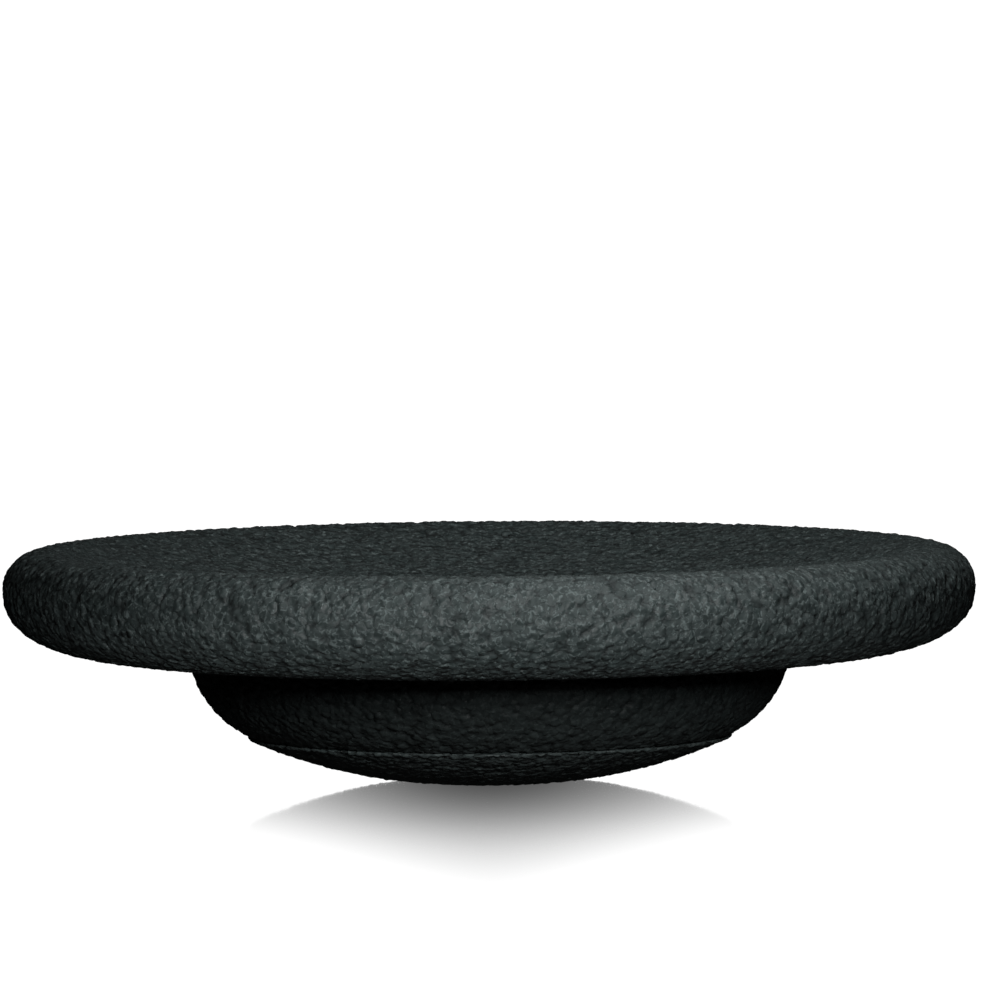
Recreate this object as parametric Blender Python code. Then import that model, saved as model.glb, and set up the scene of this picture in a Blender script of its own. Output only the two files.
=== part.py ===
"""A balance dome trainer: a dished foam deck on a bowl-shaped base with a curved rolling pad.

Three foam mouldings, each turned about the Z axis. The board stands on the pad's small flat at
z = 0, centred on the origin. Lengths are in metres.
"""

import math

import bmesh
import bpy

# Deck: a disc with a full-round rim and a shallow dish on top
DECK_RADIUS = 0.1975
DECK_THICKNESS = 0.0427     # flat underside to the rim's crest
RIM_ROLL_WIDTH = 0.016      # crest out to the widest ring
RIM_ROLL_DROP = 0.015       # crest down to the widest ring
UNDERSIDE_LEDGE = 0.018     # flat ring of the underside, left outside the dome
UNDERCUT_POWER = 2.5        # the curve from that ring up to the widest: 2 is an ellipse
DISH_DEPTH = 0.0254         # crest down to the dish's middle
DISH_LIP_RADIUS = 0.032     # roll from the crest into the dish

# Dome: the bowl between the deck and the pad
DOME_TOP_RADIUS = 0.1225
DOME_FOOT_RADIUS = 0.098
DOME_HEIGHT = 0.0333        # pad's edge up to the deck's underside
DOME_BULGE = 0.0053         # how far the side swells past a straight cone
DOME_SEAT_DEPTH = 0.006     # how far the dome's top sits inside the deck

# Rolling pad: the curved cap at the bottom
PAD_HEIGHT = 0.019          # floor to the pad's edge
PAD_PROUD = 0.0012          # step out past the dome's side
PAD_EDGE_ROUND = 0.0005     # soft corner on that step
PAD_SHOULDER_WIDTH = 0.0015 # ledge of the pad that the dome's foot sits on
PAD_FLAT_RADIUS = 0.015     # flat that it stands on
PAD_CURVE_POWER = 2.05      # how the cap rises from its flat to its edge
PAD_PLUG_DEPTH = 0.008      # how far the plug reaches up into the dome
PAD_PLUG_TAPER = math.radians(27)

GAP = 0.0003                # left between faces that meet

# How finely each stretch of a profile is divided
TURN_STEPS = 96             # round every piece
BOWL_STEPS = 9
LIP_STEPS = 3
ROLL_STEPS = 6
UNDERCUT_STEPS = 9
SIDE_STEPS = 9
EDGE_STEPS = 3
CAP_STEPS = 12

# Heights that follow from the sizes above
UNDERSIDE_Z = PAD_HEIGHT + DOME_HEIGHT
CREST_Z = UNDERSIDE_Z + DECK_THICKNESS


def arc_between(start, end, bulge, count):
    """Points along the circular arc from start to end that swells by bulge to its right."""
    chord = math.dist(start, end)
    radius = chord ** 2 / (8 * bulge) + bulge / 2
    half_angle = math.asin(chord / 2 / radius)
    along = ((end[0] - start[0]) / chord, (end[1] - start[1]) / chord)
    outward = (along[1], -along[0])
    points = []
    for i in range(count + 1):
        angle = half_angle * (2 * i / count - 1)
        run = chord / 2 + radius * math.sin(angle)
        rise = radius * (math.cos(angle) - math.cos(half_angle))
        points.append((
            start[0] + along[0] * run + outward[0] * rise,
            start[1] + along[1] * run + outward[1] * rise,
        ))
    return points


def dish_points():
    """The dish from its middle out to the crest: a spherical bowl, then a roll the other way."""
    crest_radius = DECK_RADIUS - RIM_ROLL_WIDTH
    # bowl and roll share one slope where they meet: (bowl + lip) * sin = crest, * (1 - cos) = depth
    slope = 2 * math.atan(DISH_DEPTH / crest_radius)
    bowl_radius = crest_radius / math.sin(slope) - DISH_LIP_RADIUS
    floor_z = CREST_Z - DISH_DEPTH
    points = []
    for i in range(BOWL_STEPS):
        angle = slope * i / BOWL_STEPS
        points.append((bowl_radius * math.sin(angle), floor_z + bowl_radius * (1 - math.cos(angle))))
    for i in range(LIP_STEPS + 1):
        angle = slope * (1 - i / LIP_STEPS)
        points.append((
            crest_radius - DISH_LIP_RADIUS * math.sin(angle),
            CREST_Z - DISH_LIP_RADIUS * (1 - math.cos(angle)),
        ))
    return points


def rim_points():
    """The rim from just past its crest, round its widest ring, to the flat underside."""
    widest_z = CREST_Z - RIM_ROLL_DROP
    points = []
    for i in range(1, ROLL_STEPS + 1):
        angle = math.pi / 2 * i / ROLL_STEPS
        points.append((
            DECK_RADIUS - RIM_ROLL_WIDTH * (1 - math.sin(angle)),
            widest_z + RIM_ROLL_DROP * math.cos(angle),
        ))
    undercut_width = DECK_RADIUS - UNDERSIDE_LEDGE - DOME_TOP_RADIUS
    undercut_drop = widest_z - UNDERSIDE_Z
    for i in range(1, UNDERCUT_STEPS + 1):
        angle = math.pi / 2 * i / UNDERCUT_STEPS
        inward = 1 - math.cos(angle) ** (2 / UNDERCUT_POWER)
        down = math.sin(angle) ** (2 / UNDERCUT_POWER)
        points.append((DECK_RADIUS - undercut_width * inward, widest_z - undercut_drop * down))
    return points


def deck_profile():
    """Dish, rim and underside, then the round seat for the dome's top."""
    seat_radius = DOME_TOP_RADIUS + GAP
    seat_z = UNDERSIDE_Z + DOME_SEAT_DEPTH + GAP
    seat = [(seat_radius, UNDERSIDE_Z), (seat_radius, seat_z), (0, seat_z)]
    return dish_points() + rim_points() + seat


def plug_ring(clearance, rise):
    """A point on the plug's tapered side, or clearance outside it, rise above the pad's edge."""
    root_radius = DOME_FOOT_RADIUS - PAD_SHOULDER_WIDTH + clearance / math.cos(PAD_PLUG_TAPER)
    return root_radius - rise * math.tan(PAD_PLUG_TAPER), PAD_HEIGHT + rise


def dome_profile():
    """Flat top, side down to the pad's edge, then the tapered socket for the pad's plug."""
    top_z = UNDERSIDE_Z + DOME_SEAT_DEPTH
    foot = (DOME_FOOT_RADIUS, PAD_HEIGHT + GAP)
    side = arc_between(foot, (DOME_TOP_RADIUS, UNDERSIDE_Z), DOME_BULGE, SIDE_STEPS)
    side.reverse()
    mouth = plug_ring(GAP, GAP)
    socket = plug_ring(GAP, PAD_PLUG_DEPTH + GAP)
    return [(0, top_z), (DOME_TOP_RADIUS, top_z)] + side + [mouth, socket, (0, socket[1])]


def pad_profile():
    """Plug, shoulder under the dome, soft proud edge, and the curved cap down to its flat."""
    edge_radius = DOME_FOOT_RADIUS + PAD_PROUD
    plug_top = plug_ring(0, PAD_PLUG_DEPTH)
    points = [(0, plug_top[1]), plug_top, plug_ring(0, 0)]
    for i in range(EDGE_STEPS + 1):
        angle = math.pi / 2 * i / EDGE_STEPS
        points.append((
            edge_radius - PAD_EDGE_ROUND * (1 - math.sin(angle)),
            PAD_HEIGHT - PAD_EDGE_ROUND * (1 - math.cos(angle)),
        ))
    rise = PAD_HEIGHT - PAD_EDGE_ROUND
    for i in range(1, CAP_STEPS + 1):
        share = 1 - i / CAP_STEPS
        radius = PAD_FLAT_RADIUS + (edge_radius - PAD_FLAT_RADIUS) * share
        points.append((radius, rise * share ** PAD_CURVE_POWER))
    return points + [(0, 0)]


def foam(name, colour, roughness):
    """A dark matt bead foam."""
    material = bpy.data.materials.new(name)
    material.use_nodes = True
    shader = material.node_tree.nodes["Principled BSDF"]
    shader.inputs["Base Color"].default_value = (*colour, 1.0)
    shader.inputs["Roughness"].default_value = roughness
    shader.inputs["Metallic"].default_value = 0.0
    material.diffuse_color = (*colour, 1.0)
    return material


def turned(name, profile, material):
    """One closed solid of revolution about Z from a profile of (radius, height) points."""
    mesh = bpy.data.meshes.new(name)
    build = bmesh.new()
    ring = [build.verts.new((radius, 0.0, height)) for radius, height in profile]
    edges = [build.edges.new(pair) for pair in zip(ring, ring[1:])]
    bmesh.ops.spin(
        build,
        geom=ring + edges,
        cent=(0, 0, 0),
        axis=(0, 0, 1),
        angle=2 * math.pi,
        steps=TURN_STEPS,
        use_merge=True,
    )
    bmesh.ops.remove_doubles(build, verts=build.verts[:], dist=1e-6)
    bmesh.ops.recalc_face_normals(build, faces=build.faces[:])
    build.to_mesh(mesh)
    build.free()
    mesh.materials.append(material)
    mesh.shade_smooth()
    mesh.set_sharp_from_angle(angle=math.radians(35))
    piece = bpy.data.objects.new(name, mesh)
    bpy.context.scene.collection.objects.link(piece)
    return piece


def main():
    for old in list(bpy.data.objects):
        bpy.data.objects.remove(old, do_unlink=True)
    turned("deck", deck_profile(), foam("deck_foam", (0.045, 0.052, 0.052), 0.78))
    turned("dome", dome_profile(), foam("dome_foam", (0.038, 0.043, 0.043), 0.80))
    turned("rolling_pad", pad_profile(), foam("pad_foam", (0.035, 0.039, 0.039), 0.70))


main()
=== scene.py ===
import math

import bmesh
import bpy
from mathutils import Matrix, Vector


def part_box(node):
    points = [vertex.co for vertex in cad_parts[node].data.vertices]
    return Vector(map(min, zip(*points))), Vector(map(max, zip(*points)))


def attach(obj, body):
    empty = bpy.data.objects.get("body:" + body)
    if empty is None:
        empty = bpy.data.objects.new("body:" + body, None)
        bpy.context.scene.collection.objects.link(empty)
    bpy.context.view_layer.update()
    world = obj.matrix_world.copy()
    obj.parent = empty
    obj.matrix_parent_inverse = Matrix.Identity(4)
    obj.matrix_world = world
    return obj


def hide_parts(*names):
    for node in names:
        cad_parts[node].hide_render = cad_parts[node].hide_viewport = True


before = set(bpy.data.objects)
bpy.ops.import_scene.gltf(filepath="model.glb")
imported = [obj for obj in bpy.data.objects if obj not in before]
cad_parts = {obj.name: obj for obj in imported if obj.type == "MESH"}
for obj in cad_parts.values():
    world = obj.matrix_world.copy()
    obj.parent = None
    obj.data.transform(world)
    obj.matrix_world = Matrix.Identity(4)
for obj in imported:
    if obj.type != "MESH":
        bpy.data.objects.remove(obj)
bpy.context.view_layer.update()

deckLow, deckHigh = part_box("deck")
domeLow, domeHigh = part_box("dome")
padLow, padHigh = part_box("rolling_pad")
print("frame loaded, the board is", round(deckHigh.z, 4), "m high")

cameraSettings = {
    "distance": 3.5,        # from the middle of the board
    "elevation": 4.325,     # degrees above level
    "roll": 0.419,          # the board's right side stands a little high
    "lens": 314.6,
    "aimAbove": 0.0699,     # looks over the board, so it sits low in the frame
    "aimRight": 0.0015,
    "film": 36,             # sensor width in millimetres
    "near": 0.1,
    "far": 60,
}


def makeCamera(settings):
    middle = Vector((0, 0, deckHigh.z / 2))
    tilt = math.radians(settings["elevation"])
    back = Vector((0, -math.cos(tilt), math.sin(tilt)))
    up = Vector((0, math.sin(tilt), math.cos(tilt)))
    data = bpy.data.cameras.new("studioCamera")
    data.sensor_width = settings["film"]
    data.lens = settings["lens"]
    data.clip_start = settings["near"]
    data.clip_end = settings["far"]
    camera = bpy.data.objects.new("studioCamera", data)
    bpy.context.scene.collection.objects.link(camera)
    camera.location = middle + back * settings["distance"]
    target = middle + up * settings["aimAbove"] + Vector((settings["aimRight"], 0, 0))
    look = (target - camera.location).to_track_quat("-Z", "Y").to_matrix()
    roll = Matrix.Rotation(math.radians(-settings["roll"]), 3, "Z")
    camera.rotation_euler = (look @ roll).to_euler()
    bpy.context.scene.camera = camera


makeCamera(cameraSettings)
print("camera placed")


def addNode(tree, kind, inputs=None, **settings):
    node = tree.nodes.new(kind)
    for name, value in settings.items():
        setattr(node, name, value)
    for key, value in (inputs or {}).items():
        socket = node.inputs[key]
        if isinstance(value, bpy.types.NodeSocket):
            tree.links.new(value, socket)
        else:
            socket.default_value = value
    return node


def maths(tree, operation, a, b=0.0, c=0.0, clamp=False):
    inputs = {0: a, 1: b, 2: c}
    return addNode(tree, "ShaderNodeMath", inputs, operation=operation, use_clamp=clamp).outputs[0]


def ramp(tree, value, low, high, outLow=0.0, outHigh=1.0):
    inputs = {"Value": value, "From Min": low, "From Max": high, "To Min": outLow, "To Max": outHigh}
    node = addNode(tree, "ShaderNodeMapRange", inputs, interpolation_type="SMOOTHSTEP")
    return node.outputs["Result"]


def vectorMaths(tree, operation, a, b=None, scale=None):
    inputs = {0: a}
    if b is not None:
        inputs[1] = b
    if scale is not None:
        inputs["Scale"] = scale
    return addNode(tree, "ShaderNodeVectorMath", inputs, operation=operation).outputs[0]


def noise(tree, vector, size, detail=2.0, roughness=0.5):
    inputs = {"Vector": vector, "Scale": 1 / size, "Detail": detail, "Roughness": roughness}
    return addNode(tree, "ShaderNodeTexNoise", inputs, noise_type="FBM")


def apart(tree, vector):
    return addNode(tree, "ShaderNodeSeparateXYZ", {0: vector}).outputs


def oneMinus(tree, value):
    return maths(tree, "SUBTRACT", 1.0, value)


def awayFromHalf(tree, value):
    return maths(tree, "ABSOLUTE", maths(tree, "SUBTRACT", value, 0.5))


beads = {
    "size": 0.0037,         # metres
    "spread": 0.95,         # 0 is a grid, 1 is fully scattered
    "waver": 0.0012,        # how far bead outlines wander
    "waverSize": 0.0035,
    "pillow": 0.00016,      # how far a bead's middle stands above its edge
    "pillowWidth": 0.34,
    "step": 0.00015,        # difference in level from bead to bead
    "tilt": 0.16,           # slope of the most tilted beads
    "pit": 0.00060,         # depth of the gaps where beads meet
    "pitFrom": 0.54,
    "pitTo": 0.86,
    "crease": 0.00014,      # coarse wrinkles in the bead skins
    "creaseSize": 0.0026,
    "creaseWidth": 0.14,
    "raise": 0.00019,       # brings the average back to the moulded surface
}


def beadPattern(tree, place, look):
    waver = noise(tree, place, look["waverSize"], 1.0)
    waver = vectorMaths(tree, "SUBTRACT", waver.outputs["Color"], (0.5, 0.5, 0.5))
    waver = vectorMaths(tree, "SCALE", waver, scale=look["waver"] * 2)
    moved = vectorMaths(tree, "ADD", place, waver)
    shared = {"Vector": moved, "Scale": 1 / look["size"], "Randomness": look["spread"]}
    cell = addNode(tree, "ShaderNodeTexVoronoi", shared, feature="F1")
    edge = addNode(tree, "ShaderNodeTexVoronoi", shared, feature="DISTANCE_TO_EDGE")
    chance = cell.outputs["Color"]
    split = apart(tree, chance)
    fromMiddle = vectorMaths(tree, "SUBTRACT", moved, cell.outputs["Position"])
    lean = vectorMaths(tree, "SUBTRACT", chance, (0.5, 0.5, 0.5))
    tilt = addNode(tree, "ShaderNodeVectorMath", {0: fromMiddle, 1: lean}, operation="DOT_PRODUCT")
    # adding the bead's own number to the place gives each bead its own noise
    own = vectorMaths(tree, "ADD", place, chance)
    crease = awayFromHalf(tree, noise(tree, own, look["creaseSize"], 1.0).outputs[0])
    return {
        "edge": edge.outputs["Distance"],
        "level": split[0],
        "tone": split[1],
        "own": own,
        "tilt": tilt.outputs["Value"],
        "pillow": ramp(tree, edge.outputs["Distance"], 0.0, look["pillowWidth"]),
        "pit": ramp(tree, cell.outputs["Distance"], look["pitFrom"], look["pitTo"]),
        "crease": ramp(tree, crease, 0.0, look["creaseWidth"]),
    }


def beadHeight(tree, pattern, look):
    height = maths(tree, "MULTIPLY_ADD", pattern["pillow"], look["pillow"], look["raise"] - look["pillow"])
    height = maths(tree, "MULTIPLY_ADD", pattern["level"], -look["step"], height)
    height = maths(tree, "MULTIPLY_ADD", pattern["tilt"], look["tilt"] * 2, height)
    height = maths(tree, "MULTIPLY_ADD", pattern["pit"], -look["pit"], height)
    height = maths(tree, "SUBTRACT", height, look["crease"])
    return maths(tree, "MULTIPLY_ADD", pattern["crease"], look["crease"], height)


def reliefGroup(look):
    tree = bpy.data.node_groups.new("beadRelief", "GeometryNodeTree")
    tree.interface.new_socket("Geometry", in_out="INPUT", socket_type="NodeSocketGeometry")
    tree.interface.new_socket("Geometry", in_out="OUTPUT", socket_type="NodeSocketGeometry")
    start = tree.nodes.new("NodeGroupInput")
    end = tree.nodes.new("NodeGroupOutput")
    place = tree.nodes.new("GeometryNodeInputPosition").outputs[0]
    normal = tree.nodes.new("GeometryNodeInputNormal").outputs[0]
    height = beadHeight(tree, beadPattern(tree, place, look), look)
    offset = vectorMaths(tree, "SCALE", normal, scale=height)
    moved = addNode(tree, "GeometryNodeSetPosition", {"Geometry": start.outputs[0], "Offset": offset})
    tree.links.new(moved.outputs[0], end.inputs[0])
    return tree


beadRelief = reliefGroup(beads)
meshing = {
    "voxel": 0.0009,  # about a quarter of a bead at its finest
    "turnSteps": 360,
    "mergeWithin": 1e-6,
}


def turned(name, outline):
    work = bmesh.new()
    ring = [work.verts.new((r, 0, z)) for r, z in outline]
    edges = [work.edges.new(pair) for pair in zip(ring, ring[1:])]
    bmesh.ops.spin(work, geom=ring + edges, cent=(0, 0, 0), axis=(0, 0, 1), angle=2 * math.pi,
                   steps=meshing["turnSteps"], use_merge=True)
    bmesh.ops.remove_doubles(work, verts=work.verts[:], dist=meshing["mergeWithin"])
    bmesh.ops.recalc_face_normals(work, faces=work.faces[:])
    mesh = bpy.data.meshes.new(name + "_turned")
    work.to_mesh(mesh)
    work.free()
    blank = bpy.data.objects.new(name + "_turned", mesh)
    bpy.context.scene.collection.objects.link(blank)
    even = blank.modifiers.new("even", "REMESH")
    even.mode = "VOXEL"
    even.voxel_size = meshing["voxel"]
    even.use_smooth_shade = True
    relief = blank.modifiers.new("beads", "NODES")
    relief.node_group = beadRelief
    graph = bpy.context.evaluated_depsgraph_get()
    skin = bpy.data.meshes.new_from_object(blank.evaluated_get(graph), depsgraph=graph)
    skin.name = name
    skin.shade_smooth()
    bpy.data.objects.remove(blank)
    bpy.data.meshes.remove(mesh)
    piece = bpy.data.objects.new(name, skin)
    bpy.context.scene.collection.objects.link(piece)
    print(name, len(skin.polygons), "faces")
    return piece


def steps(first, stop, whole):
    return [i / whole for i in range(first, stop)]


# outlines are lists of (radius, height), and widths and depths are in metres
deckShape = {
    "crestInset": 0.016,    # rim's highest ring, in from its widest
    "crestDrop": 0.015,     # height of the highest ring over the widest
    "ledge": 0.018,         # flat ring of the underside outside the dome
    "undercutPower": 2.5,   # 2 is an ellipse
    "dishDepth": 0.0254,
    "lipRadius": 0.032,     # roll from the dish to the highest ring
    "seatDepth": 0.006,     # how far the dome's top sits inside
    "gap": 0.0010,          # hidden slack, so the beads of two mouldings never cross
}


def deckOutline(shape):
    radius, top, under = deckHigh.x, deckHigh.z, deckLow.z
    lip, drop = shape["lipRadius"], shape["crestDrop"]
    crest = radius - shape["crestInset"]
    slope = 2 * math.atan(shape["dishDepth"] / crest)
    bowl = crest / math.sin(slope) - lip
    points = []
    for share in steps(0, 60, 60):      # spherical dish, up to where it starts to roll over
        a = slope * share
        points.append((bowl * math.sin(a), top - shape["dishDepth"] + bowl * (1 - math.cos(a))))
    for share in steps(0, 13, 12):      # roll from the dish to the crest
        a = slope * (1 - share)
        points.append((crest - lip * math.sin(a), top - lip * (1 - math.cos(a))))
    for share in steps(1, 25, 24):      # crest to the widest ring
        a = math.pi / 2 * share
        points.append((radius - shape["crestInset"] * (1 - math.sin(a)), top - drop * (1 - math.cos(a))))
    width = radius - shape["ledge"] - domeHigh.x
    fall = top - drop - under
    power = 2 / shape["undercutPower"]
    for share in steps(1, 49, 48):      # widest ring down to the flat underside
        a = math.pi / 2 * share
        points.append((radius - width * (1 - math.cos(a) ** power), top - drop - fall * math.sin(a) ** power))
    seatRadius = domeHigh.x + shape["gap"]
    seatTop = under + shape["seatDepth"] + shape["gap"]
    points += [(seatRadius, under), (seatRadius, seatTop), (0, seatTop)]
    return points


domeShape = {
    "footRadius": 0.098,
    "bulge": 0.0053,        # how far the side swells past a straight cone
    "shoulder": 0.0015,     # ring that the pad's edge sits under
    "plugDepth": 0.008,
    "plugTaper": 27,        # degrees
    "gap": 0.0003,
}


def domeOutline(shape):
    top, foot = Vector((domeHigh.x, deckLow.z)), Vector((shape["footRadius"], domeLow.z))
    chord = top - foot
    radius = chord.length ** 2 / (8 * shape["bulge"]) + shape["bulge"] / 2
    half = math.asin(chord.length / 2 / radius)
    along = chord.normalized()
    outward = Vector((along.y, -along.x))
    points = [(0, domeHigh.z), (domeHigh.x, domeHigh.z)]
    middle = (top + foot) / 2
    for share in steps(0, 49, 24):      # side, from the deck down to the pad
        a = half * (1 - share)
        swell = outward * radius * (math.cos(a) - math.cos(half))
        points.append(tuple(middle + along * radius * math.sin(a) + swell))
    taper = math.tan(math.radians(shape["plugTaper"]))
    mouth = shape["footRadius"] - shape["shoulder"] + shape["gap"]
    socketTop = domeLow.z + shape["plugDepth"]
    points += [(mouth, domeLow.z), (mouth - shape["plugDepth"] * taper, socketTop), (0, socketTop)]
    return points


padShape = {
    "edgeRound": 0.0006,
    "flatRadius": 0.015,    # flat that the board stands on
    "curvePower": 2.05,     # 2 is a parabola
    "gap": 0.0003,
    "plugSlack": 0.0008,    # the plug is this much smaller than its socket
}


def padOutline(shape):
    edgeTop = domeLow.z - shape["gap"]
    taper = math.tan(math.radians(domeShape["plugTaper"]))
    shoulder = domeShape["footRadius"] - domeShape["shoulder"]
    plugTop = padHigh.z - shape["plugSlack"]
    root = shoulder - shape["plugSlack"]
    points = [(0, plugTop), (root - (plugTop - edgeTop) * taper, plugTop), (root, edgeTop)]
    for share in steps(0, 7, 6):        # soft proud edge
        a = math.pi / 2 * share
        points.append((padHigh.x - shape["edgeRound"] * (1 - math.sin(a)),
                       edgeTop - shape["edgeRound"] * (1 - math.cos(a))))
    for share in steps(1, 61, 60):      # curved cap down to the flat
        left = 1 - share
        points.append((shape["flatRadius"] + (padHigh.x - shape["flatRadius"]) * left,
                       (edgeTop - shape["edgeRound"]) * left ** shape["curvePower"]))
    return points + [(0, 0)]


deckFoam = turned("deck_foam", deckOutline(deckShape))
domeFoam = turned("dome_foam", domeOutline(domeShape))
padFoam = turned("pad_foam", padOutline(padShape))

deckLook = {
    "dark": (0.0180, 0.0252, 0.0249),
    "light": (0.0250, 0.0348, 0.0344),
    "scuffAndGlint": (0.071, 0.090, 0.089),         # pale edges of crumpled bead skin, with painted highlight: glints off the folds put into the colour
    # painted shade for the gaps where beads meet
    "pitShade": (0.012, 0.017, 0.017),
    "patchSize": 0.0018,                    # patches with flecks, and stretches of torn seam, both in the pale colour that is partly painted highlight
    "fleckSize": 0.0027,
    "fleckDetail": (1.5, 0.55),             # noise detail and its roughness
    "fleckWidth": 0.040,
    "fleckShare": (0.49, 0.61),             # lower means more flecks
    "tornAndGlintWidth": (0.02, 0.13),              # pale torn skin beside the seams, partly painted highlight
    "tornAndGlintShare": (0.45, 0.60),
    "roughness": (0.58, 0.82),
    "roughSpread": (0.2, 0.8),              # how far grain and beads have to go to reach those two
    "ior": 1.42,
    "broadSize": 0.02,                      # slow drift of tone over the moulding
    "broadDetail": 3.0,
    "beadTone": 0.6,                        # share of the tone that changes from bead to bead
    "fold": 0.00010,                        # heights of the finest relief, in metres
    "seam": 0.00004,
    "seamWidth": 0.10,
    "grain": 0.00002,
    "grainSize": 0.0005,
    "lump": 0.00320,
    "lumpSize": 0.0048,
}


def mixColour(tree, share, a, b):
    node = addNode(tree, "ShaderNodeMix", {0: share}, data_type="RGBA")
    for slot, value in ((6, a), (7, b)):    # a Mix node's colour inputs
        if isinstance(value, bpy.types.NodeSocket):
            tree.links.new(value, node.inputs[slot])
        else:
            node.inputs[slot].default_value = (*value, 1)
    return node.outputs[2]


def foamMaterial(name, look, relief):
    material = bpy.data.materials.new(name)
    material.use_nodes = True
    tree = material.node_tree
    shader = tree.nodes["Principled BSDF"]
    place = addNode(tree, "ShaderNodeTexCoord").outputs["Object"]
    pattern = beadPattern(tree, place, relief)
    # crumpled skin, its folds turned a new way on every bead; the folds get the pale colour, partly painted
    # highlight
    fold = awayFromHalf(tree, noise(tree, pattern["own"], look["fleckSize"], *look["fleckDetail"]).outputs[0])
    fold = oneMinus(tree, ramp(tree, fold, 0.0, look["fleckWidth"]))
    where = apart(tree, noise(tree, place, look["patchSize"], 1.0).outputs["Color"])
    fold = maths(tree, "MULTIPLY", fold, ramp(tree, where[0], *look["fleckShare"]))
    # torn skin stands up pale along stretches of the seams, and this pale colour is partly painted highlight
    tornAndGlint = oneMinus(tree, ramp(tree, pattern["edge"], *look["tornAndGlintWidth"]))
    tornAndGlint = maths(tree, "MULTIPLY", tornAndGlint, ramp(tree, where[1], *look["tornAndGlintShare"]))
    fold = maths(tree, "MAXIMUM", fold, tornAndGlint)
    grain = noise(tree, place, look["grainSize"]).outputs[0]
    broad = noise(tree, place, look["broadSize"], look["broadDetail"]).outputs[0]

    tone = maths(tree, "MULTIPLY", broad, 1 - look["beadTone"])
    tone = maths(tree, "MULTIPLY_ADD", pattern["tone"], look["beadTone"], tone)
    colour = mixColour(tree, tone, look["dark"], look["light"])
    # pale scuffs and painted highlight on folds and seams
    colour = mixColour(tree, fold, colour, look["scuffAndGlint"])
    # painted shade: the gaps where beads meet are darkened in colour as though shadowed
    colour = mixColour(tree, pattern["pit"], colour, look["pitShade"])
    tree.links.new(colour, shader.inputs["Base Color"])

    rough = maths(tree, "MULTIPLY_ADD", grain, 0.5, maths(tree, "MULTIPLY", pattern["level"], 0.5))
    tree.links.new(ramp(tree, rough, *look["roughSpread"], *look["roughness"]), shader.inputs["Roughness"])

    lump = noise(tree, pattern["own"], look["lumpSize"], 1.0).outputs[0]
    seam = ramp(tree, pattern["edge"], 0.0, look["seamWidth"])
    height = maths(tree, "MULTIPLY", fold, look["fold"])
    for part, amount in ((lump, look["lump"]), (seam, look["seam"]), (grain, look["grain"])):
        height = maths(tree, "MULTIPLY_ADD", part, amount, height)
    bump = addNode(tree, "ShaderNodeBump", {"Strength": 1.0, "Distance": 1.0, "Height": height})
    tree.links.new(bump.outputs[0], shader.inputs["Normal"])
    shader.inputs["IOR"].default_value = look["ior"]
    return material


deckFoam.data.materials.append(foamMaterial("deck_bead_foam", deckLook, beads))
# the dome's skin is smoother, and so is the pad's
baseLook = {
    **deckLook,
    "dark": (0.0165, 0.0225, 0.0222),
    "light": (0.0245, 0.0335, 0.0330),
    # dimmer pale flecks: less scuffing and less painted highlight
    "scuffAndGlint": (0.038, 0.050, 0.049),
    "lump": 0.00230,
}
domeFoam.data.materials.append(foamMaterial("dome_bead_foam", baseLook, beads))
padFoam.data.materials.append(foamMaterial("pad_bead_foam", baseLook, beads))
for piece, node in ((deckFoam, "deck"), (domeFoam, "dome"), (padFoam, "rolling_pad")):
    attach(piece, "root")
    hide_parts(node)
print("materials made")

studio = {
    "size": 9.0,            # radius of the floor and of the white backdrop over it
    "white": 1.2,           # strength of the backdrop
    "glow": 0.93,           # the floor is lit from within, so shadows on it stay faint
    "body": 0.15,
    "gloss": 0.05,          # roughness of the polished patch under the board
    "mirror": 1.5,          # strength of the patch's reflection
    "reach": 0.52,          # how far the polish reaches to the front
    "width": 0.20,          # and to the side, under the board
    "narrowing": 0.40,      # how fast that side reach shrinks towards the front
    "glaze": 1.5,           # refractive index of the polish
    "floorSides": 64,
    "backdropSides": (32, 16),
}


def glowMaterial(name, strength):
    material = bpy.data.materials.new(name)
    material.use_nodes = True
    tree = material.node_tree
    glow = addNode(tree, "ShaderNodeEmission", {"Color": (1, 1, 1, 1), "Strength": strength})
    tree.links.new(glow.outputs[0], tree.nodes["Material Output"].inputs["Surface"])
    return material


def floorMaterial(settings):
    material = bpy.data.materials.new("studio_floor")
    material.use_nodes = True
    tree = material.node_tree
    body = tree.nodes["Principled BSDF"]
    body.inputs["Base Color"].default_value = (*[settings["body"]] * 3, 1)
    body.inputs["Roughness"].default_value = 1.0
    body.inputs["Specular IOR Level"].default_value = 0.0
    body.inputs["Emission Color"].default_value = (1, 1, 1, 1)
    body.inputs["Emission Strength"].default_value = settings["glow"]
    mirror = addNode(tree, "ShaderNodeBsdfGlossy", {"Color": (1, 1, 1, 1), "Roughness": settings["gloss"]})
    place = addNode(tree, "ShaderNodeTexCoord").outputs["Object"]
    split = apart(tree, place)
    across = maths(tree, "ABSOLUTE", split[0])
    along = maths(tree, "ABSOLUTE", split[1])
    width = maths(tree, "MULTIPLY_ADD", along, -settings["narrowing"], settings["width"])
    polish = ramp(tree, along, 0.0, settings["reach"], settings["mirror"], 0.0)
    side = ramp(tree, maths(tree, "DIVIDE", across, width), 0.0, 1.0, 1.0, 0.0)
    polish = maths(tree, "MULTIPLY", polish, side)
    fresnel = addNode(tree, "ShaderNodeFresnel", {"IOR": settings["glaze"]}).outputs[0]
    share = maths(tree, "MULTIPLY", fresnel, polish, clamp=True)
    blend = addNode(tree, "ShaderNodeMixShader", {0: share, 1: body.outputs[0], 2: mirror.outputs[0]})
    tree.links.new(blend.outputs[0], tree.nodes["Material Output"].inputs["Surface"])
    return material


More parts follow.
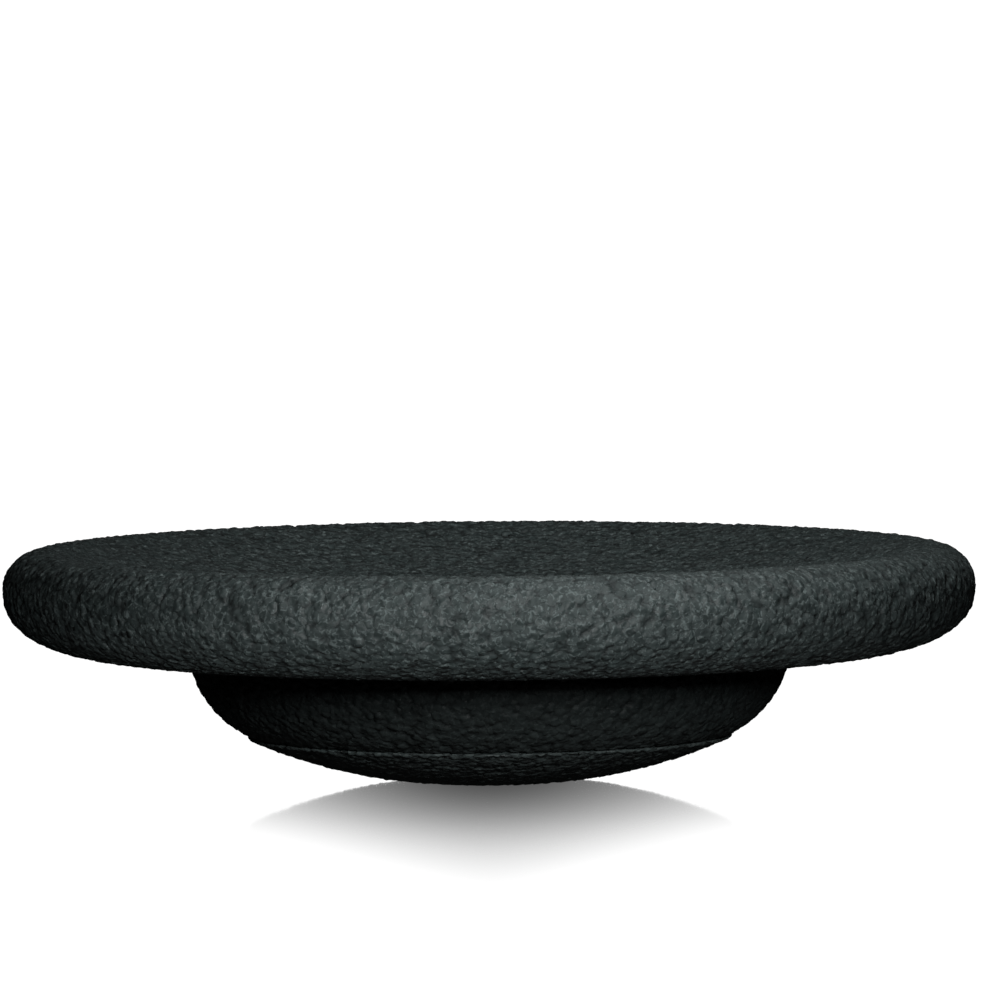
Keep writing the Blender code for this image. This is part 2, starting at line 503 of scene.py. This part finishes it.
def stageObject(name, work):
    mesh = bpy.data.meshes.new(name)
    work.to_mesh(mesh)
    work.free()
    return bpy.data.objects.new(name, mesh)


def litOnly(thing, name, receivers):
    lit = bpy.data.collections.new(name)
    for receiver in receivers:
        lit.objects.link(receiver)
    thing.light_linking.receiver_collection = lit


def makeStudio(settings):
    scene = bpy.context.scene
    work = bmesh.new()
    bmesh.ops.create_circle(work, cap_ends=True, segments=settings["floorSides"], radius=settings["size"])
    floor = stageObject("studio_floor", work)
    floor.data.materials.append(floorMaterial(settings))
    work = bmesh.new()
    around, down = settings["backdropSides"]
    bmesh.ops.create_uvsphere(work, u_segments=around, v_segments=down, radius=settings["size"])
    bmesh.ops.reverse_faces(work, faces=work.faces[:])
    backdrop = stageObject("studio_backdrop", work)
    backdrop.data.materials.append(glowMaterial("studio_white", settings["white"]))
    for thing in (floor, backdrop):
        scene.collection.objects.link(thing)
    # the backdrop lights only the floor, and the floor throws no light up at the board
    floor.visible_diffuse = False
    floor.visible_glossy = False
    floor.visible_shadow = False    # lets the bounce lamp through from below
    litOnly(backdrop, "lit_by_backdrop", [floor])
    scene.world = bpy.data.worlds.new("studio_world")
    scene.world.color = (0, 0, 0)
    scene.view_settings.view_transform = "Standard"


makeStudio(studio)

allPieces = ["deck_foam", "dome_foam", "pad_foam"]
lampAim = Vector((0, 0, 0.06))
# turn is in degrees from the front, rise in degrees up, away in metres; a lamp with a cone is a spot
lamps = {
    "deck_key": {"turn": 3, "rise": 7, "away": 2.0, "size": (0.10, 0.10), "power": 150, "cone": 13.4,
                 "on": ["deck_foam"]},
    "deck_fill": {"turn": -5, "rise": 15, "away": 2.0, "size": (0.35, 0.35), "power": 5,
                  "on": ["deck_foam"]},
    "deck_near": {"turn": 30, "rise": 54, "away": 0.45, "size": (0.10, 0.10), "power": 1.1,
                  "on": ["deck_foam"]},
    "base_key": {"turn": 10, "rise": 17, "away": 2.0, "size": (0.50, 0.62), "power": 29,
                 "on": ["dome_foam", "pad_foam"]},
    "pad_key": {"turn": 4, "rise": 13, "away": 2.0, "size": (0.60, 0.08), "power": 22, "on": ["pad_foam"]},
    # comes up through the floor, like light off a white table
    "bounce": {"turn": 0, "rise": -90, "away": 2.0, "size": (2.00, 2.00), "power": 1.2, "on": allPieces},
    # behind the board, and lower than its rim, so the dish stays as it is
    "back_low": {"turn": 180, "rise": -1, "away": 2.0, "size": (0.30, 0.05), "power": 17, "on": allPieces},
}


def makeLamp(name, lamp, pieces):
    spot = "cone" in lamp
    data = bpy.data.lights.new(name, "SPOT" if spot else "AREA")
    data.energy = lamp["power"]
    width, height = lamp["size"]
    if spot:
        data.shadow_soft_size = width / 2
        data.spot_size = math.radians(lamp["cone"])
        data.spot_blend = 1.0
    else:
        data.shape = "RECTANGLE"
        data.size = width
        data.size_y = height
    turn, rise = math.radians(lamp["turn"]), math.radians(lamp["rise"])
    away = Vector((math.sin(turn) * math.cos(rise), -math.cos(turn) * math.cos(rise), math.sin(rise)))
    thing = bpy.data.objects.new(name, data)
    thing.location = lampAim + away * lamp["away"]
    thing.rotation_euler = (-away).to_track_quat("-Z", "Y").to_euler()
    thing.visible_camera = False
    litOnly(thing, "lit_by_" + name, [piece for piece in pieces if piece.name in lamp["on"]])
    bpy.context.scene.collection.objects.link(thing)


for name, lamp in lamps.items():
    makeLamp(name, lamp, (deckFoam, domeFoam, padFoam))
print("floor, backdrop and lamps made")
